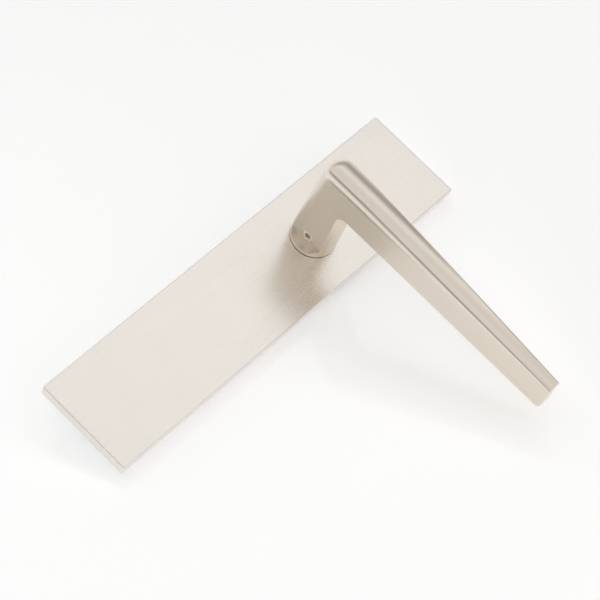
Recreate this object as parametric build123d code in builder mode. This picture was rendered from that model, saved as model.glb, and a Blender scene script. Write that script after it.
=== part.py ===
from build123d import *
import math
import os

os.makedirs("parts", exist_ok=True)

# Lever handle half-set on a long blank plate, as it hangs on a door. Millimetres.
# +Z is up along the plate, +X is the way the grip points, +Y goes into the door.
# The origin is on the lever's turning axis, in the plane of the door's face.

# ---------------------------------------------------------------- driving sizes
plate_width = 50.0
plate_above_axis = 70.4
plate_below_axis = 147.1
plate_depth = 5.4
cover_skin = 1.6
cover_corner_radius = 0.9
cover_edge_radius = 0.6
cover_clearance = 0.25
cover_bore_clearance = 1.0
seat_clearance = 0.02

fixing_thickness = 2.0
rib_length = 52.0
rib_width = 5.0
rib_height = 0.8
rib_offset_x = 14.0
rib_below_axis = 83.0

foot_radius = 11.0
foot_gap = 0.35
foot_height = 2.15
neck_flat = 7.0
pocket_corner_radius = 4.2
neck_right = 10.9
elbow_left = 8.8
elbow_radius = 7.0
lower_edge_radius = 4.5
upper_edge_radius = 2.2
inner_elbow_radius = 4.6
grip_reach = 129.4
grip_front = 59.3
grip_back = 38.4
grip_back_bulge = 0.6
taper_margin = 1.0
top_run_out = 24.0
tip_thickness = 5.9
tip_front = 57.2
tip_lower_edge_radius = 1.2
top_edge_radius = 1.2
tip_corner_radius = 2.4
tip_end_radius = 0.4

journal_radius = 8.0
running_clearance = 0.05
bush_wall = 2.0
bush_flange_width = 1.95
bush_length_behind = 3.0
glide_washer_land = 1.2
glide_washer_thickness = 0.3
washer_width = 2.6
washer_thickness = 0.5
ring_thickness = 1.0
ring_groove_depth = 0.4
ring_width = 2.0
ring_opening = 5.0
axial_play = 0.1
journal_end_margin = 0.8

spindle_side = 8.0
spindle_clearance = 0.1
spindle_in_lever = 22.0
spindle_reach = 66.0
spindle_chamfer = 0.8
spindle_notch_depth = 1.0
spindle_notch_length = 7.0
screw_radius = 3.0
screw_from_plate = 8.15
screw_recess = 0.3
screw_socket_across = 3.0
screw_socket_depth = 1.8
screw_point_radius = 1.6
screw_point_length = 1.2

housing_radius = 15.0
housing_wall = 1.5
ear_radius = 3.4
ear_thickness = 2.4
ear_screw_x = 18.0
housing_screw_radius = 1.5
housing_screw_head_radius = 2.7
housing_screw_head_height = 1.6
housing_screw_socket = 2.0
rear_bush_wall = 1.2
rear_bush_flange_width = 1.85
rear_bush_flange_height = 0.8

driver_hub_radius = 7.5
driver_flange_radius = 10.8
driver_flange_thickness = 1.4
driver_gap = 0.3
driver_tail = 0.9
lug_reach = 12.9
lug_half_angle = 9.0
lever_travel = 45.0
stop_pin_radius = 1.0
stop_pin_circle = 12.2
stop_gap = 0.06
driver_clip_thickness = 0.8
driver_clip_width = 1.9
driver_clip_groove_depth = 0.4

spring_wire = 1.3
spring_turns = 2.5
spring_coil_gap = 0.14
spring_mean_radius = 9.8
spring_end_gap = 0.25
spring_leg_length = 1.2

post_spacing = 38.0
post_radius = 3.75
post_length = 14.0
post_thread_radius = 1.65
post_spigot_radius = 3.0
post_head_radius = 4.6
post_head_height = 1.2
post_chamfer = 0.6

wood_screw_spacing = 30.0
wood_screw_above_axis = 58.0
wood_screw_below_axis = 134.0
wood_screw_radius = 2.1
wood_screw_head_radius = 3.6

clip_width = 12.0
clip_thickness = 0.5
clip_arm_height = 1.1
clip_rivet_radius = 1.2
clip_rivet_head_radius = 2.2
clip_rivet_head_height = 0.7
clip_rivet_spacing = 14.0
clip_heights = {"upper": 40.0, "middle": -45.0, "lower": -120.0}

# ---------------------------------------------------------------- derived places
plate_front = -plate_depth
plate_length = plate_above_axis + plate_below_axis
plate_centre_z = (plate_above_axis - plate_below_axis) / 2
inside_width = plate_width - 2 * cover_skin
inside_length = plate_length - 2 * cover_skin
cavity_front = plate_front + cover_skin
fixing_front = -fixing_thickness
fixing_width = inside_width - 2 * cover_clearance
fixing_length = inside_length - 2 * cover_clearance

foot_start = plate_front - foot_gap
shoulder = foot_start - foot_height
neck_start = shoulder - pocket_corner_radius
foot_flat_half = math.sqrt(foot_radius**2 - neck_flat**2)
grip_front_y = plate_front - grip_front
grip_back_y = plate_front - grip_back
tip_front_y = plate_front - tip_front
taper_start = neck_right + inner_elbow_radius + taper_margin
elbow_x = -elbow_left + elbow_radius
elbow_y = grip_front_y + elbow_radius
neck_right_flat = neck_right * foot_flat_half / foot_radius
tip_top = tip_thickness - neck_flat
screw_y = plate_front - screw_from_plate

cover_bore_radius = journal_radius + cover_bore_clearance
bush_radius = journal_radius + running_clearance + bush_wall
bush_flange_front = cavity_front + running_clearance
washer_start = bush_length_behind + axial_play
ring_start = washer_start + washer_thickness
ring_end = ring_start + ring_thickness
journal_end = ring_end + journal_end_margin
driver_start = journal_end + driver_gap
driver_flange_end = driver_start + driver_flange_thickness
spring_start = driver_flange_end + spring_end_gap + spring_wire / 2
spring_pitch = spring_wire + spring_coil_gap
spring_end = spring_start + spring_turns * spring_pitch
spring_hole_radius = spring_wire / 2 + spindle_clearance
housing_floor = spring_end + spring_wire / 2 + spring_end_gap
housing_depth = housing_floor + housing_wall
rear_bush_radius = driver_hub_radius + running_clearance + rear_bush_wall
rear_bush_end = housing_depth + rear_bush_flange_height
driver_clip_start = rear_bush_end + axial_play
driver_clip_end = driver_clip_start + driver_clip_thickness
driver_end = driver_clip_end + driver_tail
square_hole = spindle_side + 2 * spindle_clearance
stop_angle = lug_half_angle + math.degrees(math.asin((stop_pin_radius + stop_gap) / stop_pin_circle))
stop_angles = [90 + stop_angle, 90 - lever_travel - stop_angle]


def facing(y, x=0.0):
    """Plane at depth y, seen from the front: local X is X, local Y is Z, normal towards the room."""
    return Plane(origin=(x, y, 0), x_dir=(1, 0, 0), z_dir=(0, -1, 0))


def along_grip(x):
    """Plane across the grip at x: local X is Y, local Y is Z, normal towards the tip."""
    return Plane(origin=(x, 0, 0), x_dir=(0, 1, 0), z_dir=(1, 0, 0))


def save(piece, name):
    piece.part.label = name
    export_step(piece.part, f"parts/{name}.step")


def turned_ring(start, end, outer, inner):
    """Plain ring about the lever's axis, from depth start to depth end."""
    with BuildPart() as ring:
        with BuildSketch(facing(end)):
            Circle(outer)
            Circle(inner, mode=Mode.SUBTRACT)
        extrude(amount=end - start)
    return ring


# ---------------------------------------------------------------- cover plate
with BuildPart() as cover_plate:
    with BuildSketch(facing(0)):
        with Locations((0, plate_centre_z)):
            Rectangle(plate_width, plate_length)
    extrude(amount=plate_depth)
    fillet(cover_plate.edges().filter_by(Axis.Y), radius=cover_corner_radius)
    fillet(cover_plate.faces().sort_by(Axis.Y)[0].edges(), radius=cover_edge_radius)
    with BuildSketch(facing(0)):
        with Locations((0, plate_centre_z)):
            Rectangle(inside_width, inside_length)
    extrude(amount=plate_depth - cover_skin, mode=Mode.SUBTRACT)
    with BuildSketch(facing(0)):
        Circle(cover_bore_radius)
    extrude(amount=plate_depth, mode=Mode.SUBTRACT)
save(cover_plate, "cover_plate")

# ---------------------------------------------------------------- fixing plate
with BuildPart(facing(fixing_front)) as fixing_plate:
    with BuildSketch(facing(0)):
        with Locations((0, plate_centre_z)):
            Rectangle(fixing_width, fixing_length)
    extrude(amount=fixing_thickness)
    with BuildSketch(facing(fixing_front)):
        with Locations((-rib_offset_x, -rib_below_axis), (rib_offset_x, -rib_below_axis)):
            SlotOverall(rib_length, rib_width, rotation=90)
    extrude(amount=rib_height)
    with BuildSketch(facing(0)):
        with Locations((-rib_offset_x, -rib_below_axis), (rib_offset_x, -rib_below_axis)):
            SlotOverall(rib_length - 2 * rib_height, rib_width - 2 * rib_height, rotation=90)
    extrude(amount=rib_height, mode=Mode.SUBTRACT)
    with BuildSketch(facing(0)):
        Circle(bush_radius + seat_clearance)
        with GridLocations(0, post_spacing, 1, 2):
            Circle(post_spigot_radius + seat_clearance)
        with GridLocations(2 * ear_screw_x, 0, 2, 1):
            Circle(housing_screw_radius + seat_clearance)
        for clip_z in clip_heights.values():
            with Locations((0, clip_z)):
                with GridLocations(clip_rivet_spacing, 0, 2, 1):
                    Circle(clip_rivet_radius + seat_clearance)
    extrude(amount=fixing_thickness, mode=Mode.SUBTRACT)
    for screw_z in (wood_screw_above_axis, -wood_screw_below_axis):
        for screw_x in (-wood_screw_spacing / 2, wood_screw_spacing / 2):
            with Locations((screw_x, screw_z, 0)):
                CounterSinkHole(wood_screw_radius, wood_screw_head_radius, counter_sink_angle=90)
save(fixing_plate, "fixing_plate")


# ---------------------------------------------------------------- lever
def bow(apex, low, high):
    """Arc of the foot's radius, bulging to apex at level 0, between two levels."""
    middle = (low + high) / 2
    ends = [(apex + foot_radius - math.sqrt(foot_radius**2 - z**2), z) for z in (low, middle, high)]
    return ThreePointArc(*ends)


def grip_section(x, front_y, lower_radius):
    """Section across the grip: flat underside and top, bowed front, nearly flat back."""
    flat_back = grip_back_y - grip_back_bulge
    with BuildSketch(along_grip(x)) as section:
        with BuildLine():
            front = bow(front_y, -neck_flat, neck_flat)
            Line(front @ 1, (flat_back, neck_flat))
            ThreePointArc((flat_back, neck_flat), (grip_back_y, 0), (flat_back, -neck_flat))
            Line((flat_back, -neck_flat), front @ 0)
        make_face()
        fillet(section.vertices().group_by(Axis.Y)[0].sort_by(Axis.X)[0], radius=lower_radius)
        fillet(section.vertices().group_by(Axis.Y)[-1].sort_by(Axis.X)[0], radius=upper_edge_radius)
    return section.sketch


# the foot's circle, cut by the two flats and divided where the elbow's section changes
with BuildSketch(facing(neck_start)) as neck_at_foot:
    flat_angle = math.degrees(math.asin(neck_flat / foot_radius))
    lower_angle = math.degrees(math.asin((neck_flat - lower_edge_radius) / (foot_radius - lower_edge_radius)))
    upper_angle = math.degrees(math.asin((neck_flat - upper_edge_radius) / (foot_radius - upper_edge_radius)))
    with BuildLine():
        right_side = CenterArc((0, 0), foot_radius, -flat_angle, 2 * flat_angle)
        upper_left = CenterArc((0, 0), foot_radius, 180 - flat_angle, flat_angle - upper_angle)
        CenterArc((0, 0), foot_radius, 180 - upper_angle, upper_angle + lower_angle)
        lower_left = CenterArc((0, 0), foot_radius, 180 + lower_angle, flat_angle - lower_angle)
        Line(right_side @ 1, upper_left @ 0)
        Line(lower_left @ 1, right_side @ 0)
    make_face()

# flat underside and top, bowed sides
with BuildSketch(facing(elbow_y)) as neck_at_elbow:
    with BuildLine():
        left_side = bow(-elbow_left, -neck_flat, neck_flat)
        Line(left_side @ 1, (neck_right_flat, neck_flat))
        ThreePointArc((neck_right_flat, neck_flat), (neck_right, 0), (neck_right_flat, -neck_flat))
        Line((neck_right_flat, -neck_flat), left_side @ 0)
    make_face()
    fillet(neck_at_elbow.vertices().group_by(Axis.Y)[0].sort_by(Axis.X)[0], radius=lower_edge_radius)
    fillet(neck_at_elbow.vertices().group_by(Axis.Y)[-1].sort_by(Axis.X)[0], radius=upper_edge_radius)

grip_at_elbow = grip_section(elbow_x, grip_front_y, lower_edge_radius)
grip_at_taper = grip_section(taper_start, grip_front_y, lower_edge_radius)
grip_at_tip = grip_section(grip_reach, tip_front_y, tip_lower_edge_radius)

# the grip's top falls evenly from the elbow to the tip and runs out on the neck
top_fall = (neck_flat - tip_top) / (grip_reach + elbow_left)
top_lean = top_fall * (neck_right + elbow_left) / top_run_out
top_normal = (top_fall, -top_lean, 1)
grip_top = Plane(origin=(-elbow_left, grip_front_y, neck_flat), x_dir=(1, 0, -top_fall), z_dir=top_normal)

with BuildPart() as lever_handle:
    # round foot and the first stretch of the neck, with the two flats let into it
    with BuildSketch(facing(foot_start)):
        Circle(foot_radius)
    extrude(amount=foot_start - neck_start)
    for flat_level, away in ((-neck_flat, -1), (neck_flat, 1)):
        with BuildSketch(Plane.XY.offset(flat_level)) as pocket:
            with Locations((0, (shoulder + neck_start - foot_radius) / 2)):
                Rectangle(2 * foot_flat_half, shoulder - neck_start + foot_radius)
            fillet(pocket.vertices().group_by(Axis.Y)[-1], radius=pocket_corner_radius)
        extrude(amount=away * foot_radius, mode=Mode.SUBTRACT)
    # neck, elbow and grip
    loft([neck_at_foot.sketch, neck_at_elbow.sketch])
    with BuildSketch(facing(elbow_y, elbow_x)) as elbow:
        with BuildLine():
            outside = bow(-elbow_radius, -neck_flat, neck_flat)
            Line(outside @ 1, (0, neck_flat))
            Line((0, neck_flat), (0, -neck_flat))
            Line((0, -neck_flat), outside @ 0)
        make_face()
        fillet(elbow.vertices().group_by(Axis.Y)[0].sort_by(Axis.X)[0], radius=lower_edge_radius)
        fillet(elbow.vertices().group_by(Axis.Y)[-1].sort_by(Axis.X)[0], radius=upper_edge_radius)
    revolve(axis=Axis((elbow_x, elbow_y, 0), (0, 0, 1)), revolution_arc=90)
    loft([grip_at_elbow, grip_at_taper])
    loft([grip_at_taper, grip_at_tip])
    inner_corner = lever_handle.edges().filter_by_position(Axis.X, neck_right_flat - 1, neck_right + 1)
    inner_corner = inner_corner.filter_by_position(Axis.Y, grip_back_y - 1, grip_back_y + 1)
    fillet(inner_corner, radius=inner_elbow_radius)
    with BuildSketch(grip_top):
        with Locations((-elbow_left, -elbow_left)):
            Rectangle(2 * grip_reach, elbow_left + top_run_out, align=Align.MIN)
    extrude(amount=2 * neck_flat, mode=Mode.SUBTRACT)
    top_front = lever_handle.faces().filter_by(grip_top).edges().filter_by_position(Axis.X, 0, grip_reach - 0.1)
    fillet(top_front.sort_by(Axis.Y)[0], radius=top_edge_radius)
    # door-side corner of the grip's tip
    tip_edges = lever_handle.edges().filter_by_position(Axis.X, grip_reach - 0.1, grip_reach + 0.1)
    fillet(tip_edges.sort_by(Axis.Y)[-1], radius=tip_corner_radius)
    fillet(lever_handle.faces().sort_by(Axis.X)[-1].edges(), radius=tip_end_radius)
    # journal behind the foot, with the ring's groove
    with BuildSketch(facing(journal_end)):
        Circle(journal_radius)
    extrude(amount=journal_end - foot_start)
    with BuildSketch(facing(ring_end)):
        Circle(journal_radius + ring_thickness)
        Circle(journal_radius - ring_groove_depth, mode=Mode.SUBTRACT)
    extrude(amount=ring_thickness, mode=Mode.SUBTRACT)
    # square socket for the spindle and the set screw's hole
    with BuildSketch(facing(journal_end)):
        Rectangle(square_hole, square_hole)
    extrude(amount=journal_end + spindle_in_lever + spindle_clearance, mode=Mode.SUBTRACT)
    with BuildSketch(Plane.XY):
        with Locations((0, screw_y)):
            Circle(screw_radius + seat_clearance)
    extrude(amount=-foot_radius, mode=Mode.SUBTRACT)
save(lever_handle, "lever_handle")

# ---------------------------------------------------------------- set screw
with BuildPart() as set_screw:
    screw_head = -neck_flat + screw_recess
    screw_tip = -spindle_side / 2 + spindle_notch_depth - seat_clearance
    with BuildSketch(Plane.XY.offset(screw_head)):
        with Locations((0, screw_y)):
            Circle(screw_radius)
    extrude(amount=screw_tip - screw_head)
    chamfer(
        set_screw.faces().sort_by(Axis.Z)[-1].edges(),
        length=screw_point_length,
        length2=screw_radius - screw_point_radius,
    )
    with BuildSketch(Plane.XY.offset(screw_head)):
        with Locations((0, screw_y)):
            RegularPolygon(screw_socket_across / 2, 6, major_radius=False)
    extrude(amount=screw_socket_depth, mode=Mode.SUBTRACT)
save(set_screw, "set_screw")

# ---------------------------------------------------------------- square spindle
with BuildPart() as square_spindle:
    with BuildSketch(facing(spindle_reach)):
        Rectangle(spindle_side, spindle_side)
    extrude(amount=spindle_reach + spindle_in_lever)
    chamfer(square_spindle.faces().filter_by(Axis.Y).edges(), length=spindle_chamfer)
    with BuildSketch(Plane.XY.offset(-spindle_side / 2)):
        with Locations((0, screw_y)):
            Rectangle(spindle_side, spindle_notch_length)
    extrude(amount=spindle_notch_depth, mode=Mode.SUBTRACT)
save(square_spindle, "square_spindle")

# ---------------------------------------------------------------- bearing at the front
with BuildPart() as front_bush:
    with BuildSketch(facing(bush_length_behind)):
        Circle(bush_radius)
    extrude(amount=bush_length_behind - bush_flange_front)
    with BuildSketch(facing(fixing_front)):
        Circle(bush_radius + bush_flange_width)
    extrude(amount=fixing_front - bush_flange_front)
    with BuildSketch(facing(bush_length_behind)):
        Circle(journal_radius + running_clearance)
    extrude(amount=bush_length_behind - bush_flange_front, mode=Mode.SUBTRACT)
save(front_bush, "front_bush")

glide_washer = turned_ring(
    plate_front - glide_washer_thickness,
    plate_front,
    cover_bore_radius + glide_washer_land,
    journal_radius + cover_clearance,
)
save(glide_washer, "glide_washer")

thrust_washer = turned_ring(
    washer_start,
    ring_start,
    journal_radius + washer_width,
    journal_radius + seat_clearance,
)
save(thrust_washer, "thrust_washer")


def open_ring(start, end, outer, inner, opening):
    """Spring ring about the lever's axis with a gap at the bottom."""
    with BuildPart() as ring:
        with BuildSketch(facing(end)):
            Circle(outer)
            Circle(inner, mode=Mode.SUBTRACT)
            with Locations((0, -outer)):
                Rectangle(opening, outer, mode=Mode.SUBTRACT)
        extrude(amount=end - start)
    return ring


retaining_ring = open_ring(
    ring_start,
    ring_end,
    journal_radius + ring_width,
    journal_radius - ring_groove_depth + seat_clearance,
    ring_opening,
)
save(retaining_ring, "retaining_ring")

# ---------------------------------------------------------------- return spring
with BuildPart() as return_spring:
    with BuildLine() as spring_line:
        coil = Helix(
            pitch=spring_pitch,
            height=spring_end - spring_start,
            radius=spring_mean_radius,
            center=(0, spring_start, 0),
            direction=(0, 1, 0),
        )
    with BuildSketch(Plane(origin=coil @ 0, z_dir=coil % 0)):
        Circle(spring_wire / 2)
    sweep(path=coil, is_frenet=True)
    driver_leg = coil @ 0
    fixed_leg = coil @ 1
    with BuildSketch(facing(driver_leg.Y)):
        with Locations((driver_leg.X, driver_leg.Z)):
            Circle(spring_wire / 2)
    extrude(amount=spring_leg_length)
    with BuildSketch(facing(fixed_leg.Y)):
        with Locations((fixed_leg.X, fixed_leg.Z)):
            Circle(spring_wire / 2)
    extrude(amount=-spring_leg_length)
    with Locations((driver_leg.X, driver_leg.Y, driver_leg.Z), (fixed_leg.X, fixed_leg.Y, fixed_leg.Z)):
        Sphere(spring_wire / 2)
save(return_spring, "return_spring")

# ---------------------------------------------------------------- spring driver
with BuildPart() as spring_driver:
    with BuildSketch(facing(driver_end)):
        Circle(driver_hub_radius)
    extrude(amount=driver_end - driver_start)
    with BuildSketch(facing(driver_flange_end)):
        Circle(driver_flange_radius)
        with BuildLine():
            lug_start = 90 - lug_half_angle
            lug_arc = CenterArc((0, 0), lug_reach, lug_start, 2 * lug_half_angle)
            Line((0, 0), lug_arc @ 0)
            Line(lug_arc @ 1, (0, 0))
        make_face()
        with Locations((driver_leg.X, driver_leg.Z)):
            Circle(spring_hole_radius, mode=Mode.SUBTRACT)
    extrude(amount=driver_flange_thickness)
    with BuildSketch(facing(driver_clip_end)):
        Circle(driver_hub_radius + driver_clip_thickness)
        Circle(driver_hub_radius - driver_clip_groove_depth, mode=Mode.SUBTRACT)
    extrude(amount=driver_clip_thickness, mode=Mode.SUBTRACT)
    with BuildSketch(facing(driver_end)):
        Rectangle(square_hole, square_hole)
    extrude(amount=driver_end - driver_start, mode=Mode.SUBTRACT)
save(spring_driver, "spring_driver")

driver_clip = open_ring(
    driver_clip_start,
    driver_clip_end,
    driver_hub_radius + driver_clip_width,
    driver_hub_radius - driver_clip_groove_depth + seat_clearance,
    ring_opening,
)
save(driver_clip, "driver_clip")

# ---------------------------------------------------------------- spring housing
with BuildPart() as spring_housing:
    with BuildSketch(facing(ear_thickness)):
        SlotOverall(2 * (ear_screw_x + ear_radius), 2 * ear_radius)
    extrude(amount=ear_thickness)
    with BuildSketch(facing(housing_depth)):
        Circle(housing_radius)
    extrude(amount=housing_depth)
    fillet(spring_housing.faces().sort_by(Axis.Y)[-1].edges(), radius=housing_wall / 2)
    with BuildSketch(facing(housing_floor)):
        Circle(housing_radius - housing_wall)
    extrude(amount=housing_floor, mode=Mode.SUBTRACT)
    with BuildSketch(facing(housing_depth)):
        Circle(rear_bush_radius + seat_clearance)
        with Locations((fixed_leg.X, fixed_leg.Z)):
            Circle(spring_hole_radius)
        for angle in stop_angles:
            with PolarLocations(stop_pin_circle, 1, start_angle=angle):
                Circle(stop_pin_radius + seat_clearance)
    extrude(amount=housing_wall, mode=Mode.SUBTRACT)
    with BuildSketch(facing(ear_thickness)):
        with GridLocations(2 * ear_screw_x, 0, 2, 1):
            Circle(housing_screw_radius + seat_clearance)
    extrude(amount=ear_thickness, mode=Mode.SUBTRACT)
save(spring_housing, "spring_housing")

with BuildPart() as rear_bush:
    with BuildSketch(facing(rear_bush_end)):
        Circle(rear_bush_radius + rear_bush_flange_width)
    extrude(amount=rear_bush_flange_height)
    with BuildSketch(facing(housing_depth)):
        Circle(rear_bush_radius)
    extrude(amount=housing_wall)
    with BuildSketch(facing(rear_bush_end)):
        Circle(driver_hub_radius + running_clearance)
    extrude(amount=housing_wall + rear_bush_flange_height, mode=Mode.SUBTRACT)
save(rear_bush, "rear_bush")

with BuildPart() as stop_pins:
    with BuildSketch(facing(housing_depth)):
        for angle in stop_angles:
            with PolarLocations(stop_pin_circle, 1, start_angle=angle):
                Circle(stop_pin_radius)
    extrude(amount=housing_depth - driver_start)
save(stop_pins, "stop_pins")

with BuildPart() as housing_screws:
    head_back = ear_thickness + housing_screw_head_height
    with BuildSketch(facing(head_back)):
        with GridLocations(2 * ear_screw_x, 0, 2, 1):
            Circle(housing_screw_head_radius)
    extrude(amount=housing_screw_head_height)
    fillet(housing_screws.faces().group_by(Axis.Y)[-1].edges(), radius=housing_screw_head_height / 3)
    with BuildSketch(facing(ear_thickness)):
        with GridLocations(2 * ear_screw_x, 0, 2, 1):
            Circle(housing_screw_radius)
    extrude(amount=ear_thickness - fixing_front)
    with BuildSketch(facing(head_back)):
        with GridLocations(2 * ear_screw_x, 0, 2, 1):
            RegularPolygon(housing_screw_socket / 2, 6, major_radius=False)
    extrude(amount=housing_screw_head_height, mode=Mode.SUBTRACT)
save(housing_screws, "housing_screws")


# ---------------------------------------------------------------- posts for the through bolts
def bolt_post(height):
    """Threaded post riveted into the fixing plate at this height."""
    with BuildPart() as post:
        with BuildSketch(facing(post_length)):
            with Locations((0, height)):
                Circle(post_radius)
        extrude(amount=post_length)
        chamfer(post.faces().sort_by(Axis.Y)[-1].edges(), length=post_chamfer)
        with BuildSketch(facing(0)):
            with Locations((0, height)):
                Circle(post_spigot_radius)
        extrude(amount=fixing_thickness)
        with BuildSketch(facing(fixing_front)):
            with Locations((0, height)):
                Circle(post_head_radius)
        extrude(amount=post_head_height)
        with BuildSketch(facing(post_length)):
            with Locations((0, height)):
                Circle(post_thread_radius)
        extrude(amount=post_length + fixing_thickness, mode=Mode.SUBTRACT)
    return post


save(bolt_post(post_spacing / 2), "upper_bolt_post")
save(bolt_post(-post_spacing / 2), "lower_bolt_post")


# ---------------------------------------------------------------- clips for the cover plate
def cover_clip(height):
    """Sprung strip across the fixing plate whose two arms grip the cover's side walls."""
    span = inside_width - 2 * running_clearance
    with BuildPart() as clip:
        with BuildSketch(facing(fixing_front)):
            with Locations((0, height)):
                Rectangle(span, clip_width)
                with GridLocations(clip_rivet_spacing, 0, 2, 1):
                    Circle(clip_rivet_radius + seat_clearance, mode=Mode.SUBTRACT)
        extrude(amount=clip_thickness)
        with BuildSketch(facing(fixing_front - clip_thickness)):
            with Locations((0, height)):
                with GridLocations(span - clip_thickness, 0, 2, 1):
                    Rectangle(clip_thickness, clip_width)
        extrude(amount=clip_arm_height)
    return clip


for clip_name, clip_z in clip_heights.items():
    save(cover_clip(clip_z), f"{clip_name}_cover_clip")

with BuildPart() as clip_rivets:
    for clip_z in clip_heights.values():
        with BuildSketch(facing(0)):
            with Locations((0, clip_z)):
                with GridLocations(clip_rivet_spacing, 0, 2, 1):
                    Circle(clip_rivet_radius)
        extrude(amount=fixing_thickness + clip_thickness)
        with BuildSketch(facing(fixing_front - clip_thickness)):
            with Locations((0, clip_z)):
                with GridLocations(clip_rivet_spacing, 0, 2, 1):
                    Circle(clip_rivet_head_radius)
        extrude(amount=clip_rivet_head_height)
    fillet(clip_rivets.faces().group_by(Axis.Y)[0].edges(), radius=clip_rivet_head_height / 2)
save(clip_rivets, "clip_rivets")
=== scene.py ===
import math

import bpy
from mathutils import Matrix, Vector


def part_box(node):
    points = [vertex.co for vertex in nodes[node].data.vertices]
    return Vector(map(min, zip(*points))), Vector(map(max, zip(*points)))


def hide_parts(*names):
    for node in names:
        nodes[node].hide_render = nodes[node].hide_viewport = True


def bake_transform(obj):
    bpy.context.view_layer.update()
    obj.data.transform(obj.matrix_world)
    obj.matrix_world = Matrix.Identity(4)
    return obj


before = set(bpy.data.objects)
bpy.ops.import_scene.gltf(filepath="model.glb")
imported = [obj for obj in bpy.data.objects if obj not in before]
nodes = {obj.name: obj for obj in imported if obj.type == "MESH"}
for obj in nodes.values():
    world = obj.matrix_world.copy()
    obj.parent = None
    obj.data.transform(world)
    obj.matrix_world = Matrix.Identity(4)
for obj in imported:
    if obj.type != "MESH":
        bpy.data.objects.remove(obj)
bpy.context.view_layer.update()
scene = bpy.context.scene

plate_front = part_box("cover_plate")[0].y

# ---------------------------------------------------------------- camera
VIEW_AZIMUTH = math.radians(11.09)
VIEW_ELEVATION = math.radians(-29.22)
VIEW_ROLL = math.radians(49.77)
VIEW_DISTANCE = 1.1625
VIEW_AIM = Vector((0.0184, plate_front, -0.0285))
VIEW_LENS = 156.7

cam_data = bpy.data.cameras.new("camera")
cam_data.lens = VIEW_LENS
cam_data.sensor_width = 36.0
cam_data.clip_start = 0.05
cam_data.clip_end = 20.0
cam = bpy.data.objects.new("camera", cam_data)
scene.collection.objects.link(cam)
back = Vector((
    math.sin(VIEW_AZIMUTH) * math.cos(VIEW_ELEVATION),
    -math.cos(VIEW_AZIMUTH) * math.cos(VIEW_ELEVATION),
    math.sin(VIEW_ELEVATION),
))
level_right = (-back).cross(Vector((0, 0, 1))).normalized()
level_up = level_right.cross(-back)
right = level_right * math.cos(VIEW_ROLL) + level_up * math.sin(VIEW_ROLL)
up = level_up * math.cos(VIEW_ROLL) - level_right * math.sin(VIEW_ROLL)
spot = VIEW_AIM + back * VIEW_DISTANCE
cam.matrix_world = Matrix((
    (right.x, up.x, back.x, spot.x),
    (right.y, up.y, back.y, spot.y),
    (right.z, up.z, back.z, spot.z),
    (0, 0, 0, 1),
))
scene.camera = cam
scene.view_settings.view_transform = "Standard"

# ---------------------------------------------------------------- room
# Brightness of the room by direction: (degrees from +Y up towards +Z, tone).
# Two stretches are dark, as screens in a studio are: one high and one low in front of the object.
ROOM = 1.06
ROOM_TONES = (
    (0, 1.0),
    (92, 1.0),
    (108, 0.3),
    (130, 0.3),
    (142, 1.08),
    (156, 1.05),
    (165, 0.76),
    (188, 0.78),
    (204, 0.95),
    (214, 1.05),
    (222, 0.15),
    (238, 0.15),
    (250, 1.0),
    (360, 1.0),
)
WARM = (1.0, 0.97, 0.93)
BACKDROP = 0.9
LEVER_ROUGH = 0.34
PLATE_ROUGH = 0.27
NICKEL = (0.755, 0.68, 0.595)
PLATE_NICKEL = (0.76, 0.72, 0.665)
FLOOR_WHITE = 0.97
FLOOR_GLOW = 0.21
FLOOR_ROUGH = 0.08
FLOOR_IOR = 1.6

world = bpy.data.worlds.new("room")
scene.world = world
world.use_nodes = True
world_background = world.node_tree.nodes["Background"]
world_background.inputs["Strength"].default_value = ROOM
ns, ls = world.node_tree.nodes, world.node_tree.links
direction = ns.new("ShaderNodeTexCoord")
axes = ns.new("ShaderNodeSeparateXYZ")
angle = ns.new("ShaderNodeMath")
angle.operation = "ARCTAN2"
turn = ns.new("ShaderNodeMath")
turn.operation = "DIVIDE"
turn.inputs[1].default_value = 2 * math.pi
wrap = ns.new("ShaderNodeMath")
wrap.operation = "FRACT"
tones = ns.new("ShaderNodeValToRGB")
ls.new(direction.outputs["Generated"], axes.inputs[0])
ls.new(axes.outputs["Z"], angle.inputs[0])
ls.new(axes.outputs["Y"], angle.inputs[1])
ls.new(angle.outputs[0], turn.inputs[0])
ls.new(turn.outputs[0], wrap.inputs[0])
ls.new(wrap.outputs[0], tones.inputs[0])
# the room lights the object and shows in its reflections; seen directly it is a plain pale backdrop
seen = ns.new("ShaderNodeLightPath")
backdrop = ns.new("ShaderNodeMix")
backdrop.data_type = "RGBA"
backdrop.inputs[7].default_value = (BACKDROP, BACKDROP, BACKDROP, 1)
ls.new(seen.outputs["Is Camera Ray"], backdrop.inputs[0])
ls.new(tones.outputs["Color"], backdrop.inputs[6])
ls.new(backdrop.outputs[2], world_background.inputs["Color"])
stops = tones.color_ramp.elements
for k, (degrees, tone) in enumerate(ROOM_TONES):
    stop = stops[k] if k < 2 else stops.new(degrees / 360)
    stop.position = degrees / 360
    stop.color = (*(tone * (w + (1 - w) * min(1.0, tone)) for w in WARM), 1)


def new_material(name):
    mat = bpy.data.materials.new(name)
    mat.use_nodes = True
    return mat, mat.node_tree.nodes, mat.node_tree.links


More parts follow.
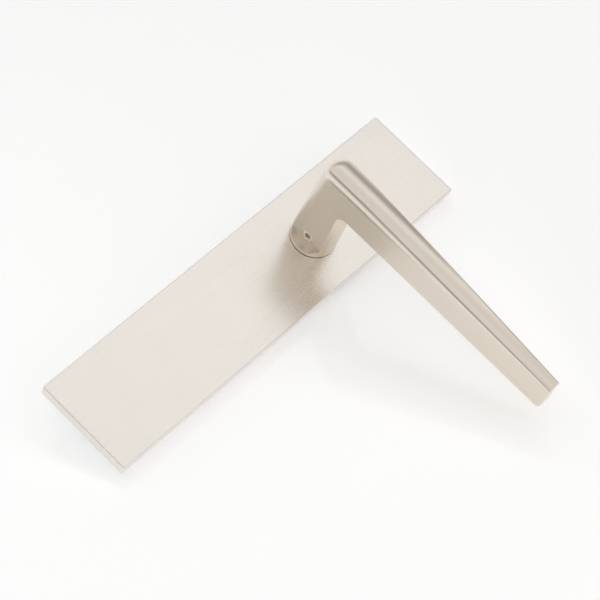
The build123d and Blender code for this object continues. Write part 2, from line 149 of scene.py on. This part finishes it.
# ---------------------------------------------------------------- floor
FLOOR_TILT = math.radians(20.25)
floor_normal = Vector((-math.sin(FLOOR_TILT), -math.cos(FLOOR_TILT), 0))
FLOOR_DROP = 0.01113
FLOOR_HALF = 1.5
floor_mesh = bpy.data.meshes.new("floor")
floor_corners = [(x * FLOOR_HALF, y * FLOOR_HALF, 0) for x, y in ((-1, -1), (1, -1), (1, 1), (-1, 1))]
floor_mesh.from_pydata(floor_corners, [], [(0, 1, 2, 3)])
floor = bpy.data.objects.new("floor", floor_mesh)
scene.collection.objects.link(floor)
floor.location = -floor_normal * FLOOR_DROP
floor.rotation_mode = "QUATERNION"
floor.rotation_quaternion = floor_normal.to_track_quat("Z", "Y")
floor.visible_shadow = False
mat, ns, ls = new_material("floor")
bsdf = ns["Principled BSDF"]
bsdf.inputs["Base Color"].default_value = (FLOOR_WHITE, FLOOR_WHITE, FLOOR_WHITE, 1)
bsdf.inputs["Roughness"].default_value = FLOOR_ROUGH
bsdf.inputs["IOR"].default_value = FLOOR_IOR
bsdf.inputs["Emission Color"].default_value = (1, 1, 1, 1)
bsdf.inputs["Emission Strength"].default_value = FLOOR_GLOW
out = ns["Material Output"]
geo = ns.new("ShaderNodeNewGeometry")
clear = ns.new("ShaderNodeBsdfTransparent")
mix = ns.new("ShaderNodeMixShader")
ls.new(geo.outputs["Backfacing"], mix.inputs[0])
ls.new(bsdf.outputs[0], mix.inputs[1])
ls.new(clear.outputs[0], mix.inputs[2])
ls.new(mix.outputs[0], out.inputs[0])
floor_mesh.materials.append(mat)


# ---------------------------------------------------------------- materials
def number(ns, ls, operation, first, second):
    """Math node; each input is a socket or a plain number."""
    node = ns.new("ShaderNodeMath")
    node.operation = operation
    for socket, value in zip(node.inputs, (first, second)):
        if isinstance(value, (int, float)):
            socket.default_value = value
        else:
            ls.new(value, socket)
    return node.outputs[0]


def spread(ns, ls, value, low, high):
    """A 0 to 1 value spread over low to high."""
    node = ns.new("ShaderNodeMapRange")
    node.inputs["To Min"].default_value = low
    node.inputs["To Max"].default_value = high
    ls.new(value, node.inputs["Value"])
    return node.outputs[0]


def noise(ns, ls, stretch, scale=1.0, detail=3.0):
    """Noise in the piece's own coordinates, drawn out along the axis whose stretch is small."""
    coordinates = ns.new("ShaderNodeTexCoord")
    mapping = ns.new("ShaderNodeMapping")
    mapping.inputs["Scale"].default_value = stretch
    texture = ns.new("ShaderNodeTexNoise")
    texture.inputs["Scale"].default_value = scale
    texture.inputs["Detail"].default_value = detail
    ls.new(coordinates.outputs["Object"], mapping.inputs["Vector"])
    ls.new(mapping.outputs[0], texture.inputs["Vector"])
    return texture.outputs[0]


def blend_colours(ns, ls, factor, first, second):
    node = ns.new("ShaderNodeMix")
    node.data_type = "RGBA"
    ls.new(factor, node.inputs[0])
    for socket, value in ((node.inputs[6], first), (node.inputs[7], second)):
        if isinstance(value, tuple):
            socket.default_value = (*value, 1)
        else:
            ls.new(value, socket)
    return node.outputs[2]


def edges(ns, ls, low, high):
    """0 on flat metal, 1 on worn outside edges."""
    shape = ns.new("ShaderNodeNewGeometry")
    node = ns.new("ShaderNodeMapRange")
    node.inputs["From Min"].default_value = low
    node.inputs["From Max"].default_value = high
    ls.new(shape.outputs["Pointiness"], node.inputs["Value"])
    return node.outputs[0]


def relief(ns, ls, bsdf, height, depth, strength):
    """Bump of the given depth."""
    bump = ns.new("ShaderNodeBump")
    bump.inputs["Distance"].default_value = depth
    bump.inputs["Strength"].default_value = strength
    ls.new(height, bump.inputs["Height"])
    ls.new(bump.outputs[0], bsdf.inputs["Normal"])


def shade(tint, factor):
    return tuple(min(1.0, c * factor) for c in tint)


WORN_EDGE = (0.52, 0.62)
CLOUD_SCALE = 45.0


def metal(
    name, tint, roughness, stretch, brushed=None, grain=0.08, cloud=0.05, depth=2e-6, wear=1.06, bump=0.12
):
    """Metal with fine lines or grain in colour, roughness and relief, clouding and worn edges.

    brushed is (direction of the brushing, strength) for metal that spreads its highlights.
    """
    mat, ns, ls = new_material(name)
    bsdf = ns["Principled BSDF"]
    bsdf.inputs["Metallic"].default_value = 1.0
    fine = noise(ns, ls, stretch, 1.0, 4.0)
    broad = noise(ns, ls, (1, 1, 1), CLOUD_SCALE, 2.0)
    tone = blend_colours(ns, ls, fine, shade(tint, 1 - grain / 3), shade(tint, 1 + grain / 3))
    tone = blend_colours(ns, ls, edges(ns, ls, *WORN_EDGE), tone, shade(tint, wear))
    ls.new(tone, bsdf.inputs["Base Color"])
    lines = spread(ns, ls, fine, -grain, grain)
    clouds = spread(ns, ls, broad, roughness - cloud, roughness + cloud)
    ls.new(number(ns, ls, "ADD", lines, clouds), bsdf.inputs["Roughness"])
    relief(ns, ls, bsdf, fine, depth, bump)
    if brushed:
        direction, strength = brushed
        bsdf.inputs["Anisotropic"].default_value = strength
        bsdf.inputs["Anisotropic Rotation"].default_value = 0.25
        along = ns.new("ShaderNodeCombineXYZ")
        for socket, value in zip(along.inputs, direction):
            socket.default_value = value
        turned = ns.new("ShaderNodeVectorTransform")
        turned.vector_type = "VECTOR"
        turned.convert_from = "OBJECT"
        turned.convert_to = "WORLD"
        ls.new(along.outputs[0], turned.inputs[0])
        ls.new(turned.outputs[0], bsdf.inputs["Tangent"])
    return mat


def zinc_plate(name, tint):
    """Zinc plate: spangled, with a faint yellow and blue bloom."""
    mat, ns, ls = new_material(name)
    bsdf = ns["Principled BSDF"]
    bsdf.inputs["Metallic"].default_value = 1.0
    bloom = noise(ns, ls, (1, 1, 1), 90.0, 3.0)
    grain = noise(ns, ls, (1, 1, 1), 1800.0, 3.0)
    tone = blend_colours(ns, ls, bloom, shade(tint, 0.94), (tint[0] * 1.04, tint[1] * 1.02, tint[2] * 0.94))
    tone = blend_colours(ns, ls, edges(ns, ls, *WORN_EDGE), tone, shade(tint, 1.1))
    ls.new(tone, bsdf.inputs["Base Color"])
    rough = number(ns, ls, "ADD", spread(ns, ls, bloom, 0.3, 0.44), spread(ns, ls, grain, -0.05, 0.05))
    ls.new(rough, bsdf.inputs["Roughness"])
    relief(ns, ls, bsdf, grain, 4e-6, 0.4)
    return mat


def nylon(name, tint, roughness):
    """Moulded nylon: fine sandy skin, slightly uneven tone."""
    mat, ns, ls = new_material(name)
    bsdf = ns["Principled BSDF"]
    skin = noise(ns, ls, (1, 1, 1), 2600.0, 3.0)
    broad = noise(ns, ls, (1, 1, 1), 70.0, 2.0)
    ls.new(blend_colours(ns, ls, broad, shade(tint, 0.93), shade(tint, 1.03)), bsdf.inputs["Base Color"])
    ls.new(spread(ns, ls, skin, roughness - 0.08, roughness + 0.08), bsdf.inputs["Roughness"])
    relief(ns, ls, bsdf, skin, 8e-6, 0.5)
    return mat


finishes = {
    "plate_satin_nickel": metal(
        "plate_satin_nickel",
        PLATE_NICKEL,
        PLATE_ROUGH,
        stretch=(1700, 1700, 9),
        grain=0.03,
        cloud=0.03,
        bump=0.04,
    ),
    "lever_satin_nickel": metal(
        "lever_satin_nickel",
        NICKEL,
        LEVER_ROUGH,
        stretch=(9, 1500, 1500),
        grain=0.04,
        cloud=0.03,
    ),
    "screw_steel": metal(
        "screw_steel",
        (0.78, 0.75, 0.7),
        0.22,
        stretch=(900, 900, 300),
        grain=0.06,
        depth=4e-6,
        wear=1.15,
    ),
    "spindle_steel": metal(
        "spindle_steel",
        (0.55, 0.55, 0.56),
        0.36,
        stretch=(1300, 12, 1300),
        brushed=((0, 1, 0), 0.5),
        grain=0.1,
        cloud=0.06,
        depth=4e-6,
        wear=1.15,
    ),
    "spring_steel": metal(
        "spring_steel",
        (0.38, 0.38, 0.4),
        0.3,
        stretch=(500, 900, 500),
        cloud=0.06,
        depth=4e-6,
        wear=1.1,
    ),
    "cast_zinc": metal(
        "cast_zinc",
        (0.56, 0.57, 0.58),
        0.48,
        stretch=(700, 700, 700),
        grain=0.1,
        cloud=0.08,
        depth=2e-5,
        wear=1.1,
    ),
    "zinc_plated_steel": zinc_plate("zinc_plated_steel", (0.7, 0.71, 0.73)),
    "white_nylon": nylon("white_nylon", (0.88, 0.87, 0.83), 0.45),
    "black_nylon": nylon("black_nylon", (0.03, 0.03, 0.03), 0.4),
}
for name, ob in nodes.items():
    slot = ob.data.materials[0].name.split(".")[0]
    ob.data.materials.clear()
    ob.data.materials.append(finishes[slot])

# ---------------------------------------------------------------- return spring
# wound wire, built at rest (the real spring twists with the lever): its front leg sits in the driver, its
# rear leg in the housing
SPRING_WIRE = 0.0013
SPRING_LEG = 0.0012
SPRING_TURNS = 2.5
SPRING_DIRECTION = -1
SPRING_ANGLE = math.pi / 2
WIRE_STEPS = 160
WIRE_SIDES = 14
spring_low, spring_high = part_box("return_spring")
coil_radius = (spring_high.x - spring_low.x - SPRING_WIRE) / 2
coil_front = spring_low.y + SPRING_LEG
coil_back = spring_high.y - SPRING_LEG


def on_coil(t):
    turn = SPRING_DIRECTION * 2 * math.pi * SPRING_TURNS * t + SPRING_ANGLE
    depth = coil_front + (coil_back - coil_front) * t
    return Vector((coil_radius * math.cos(turn), depth, coil_radius * math.sin(turn)))


path = [on_coil(0) - Vector((0, SPRING_LEG, 0))]
path += [on_coil(k / WIRE_STEPS) for k in range(WIRE_STEPS + 1)]
path.append(on_coil(1) + Vector((0, SPRING_LEG, 0)))
points, faces = [], []
for k, centre in enumerate(path):
    along = (path[min(k + 1, len(path) - 1)] - path[max(k - 1, 0)]).normalized()
    out = Vector((centre.x, 0, centre.z)).normalized()
    out = (out - along * out.dot(along)).normalized()
    across = along.cross(out)
    for side in range(WIRE_SIDES):
        a = 2 * math.pi * side / WIRE_SIDES
        points.append(centre + (out * math.cos(a) + across * math.sin(a)) * SPRING_WIRE / 2)
for k in range(len(path) - 1):
    for side in range(WIRE_SIDES):
        other = (side + 1) % WIRE_SIDES
        row, following = k * WIRE_SIDES, (k + 1) * WIRE_SIDES
        faces.append((row + side, row + other, following + other, following + side))
faces.append(tuple(reversed(range(WIRE_SIDES))))
faces.append(tuple(range(len(points) - WIRE_SIDES, len(points))))
spring_mesh = bpy.data.meshes.new("wound_return_spring")
spring_mesh.from_pydata(points, [], faces)
for face in spring_mesh.polygons:
    face.use_smooth = len(face.vertices) == 4
spring_mesh.materials.append(finishes["spring_steel"])
spring = bpy.data.objects.new("wound_return_spring", spring_mesh)
scene.collection.objects.link(spring)
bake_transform(spring)
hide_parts("return_spring")
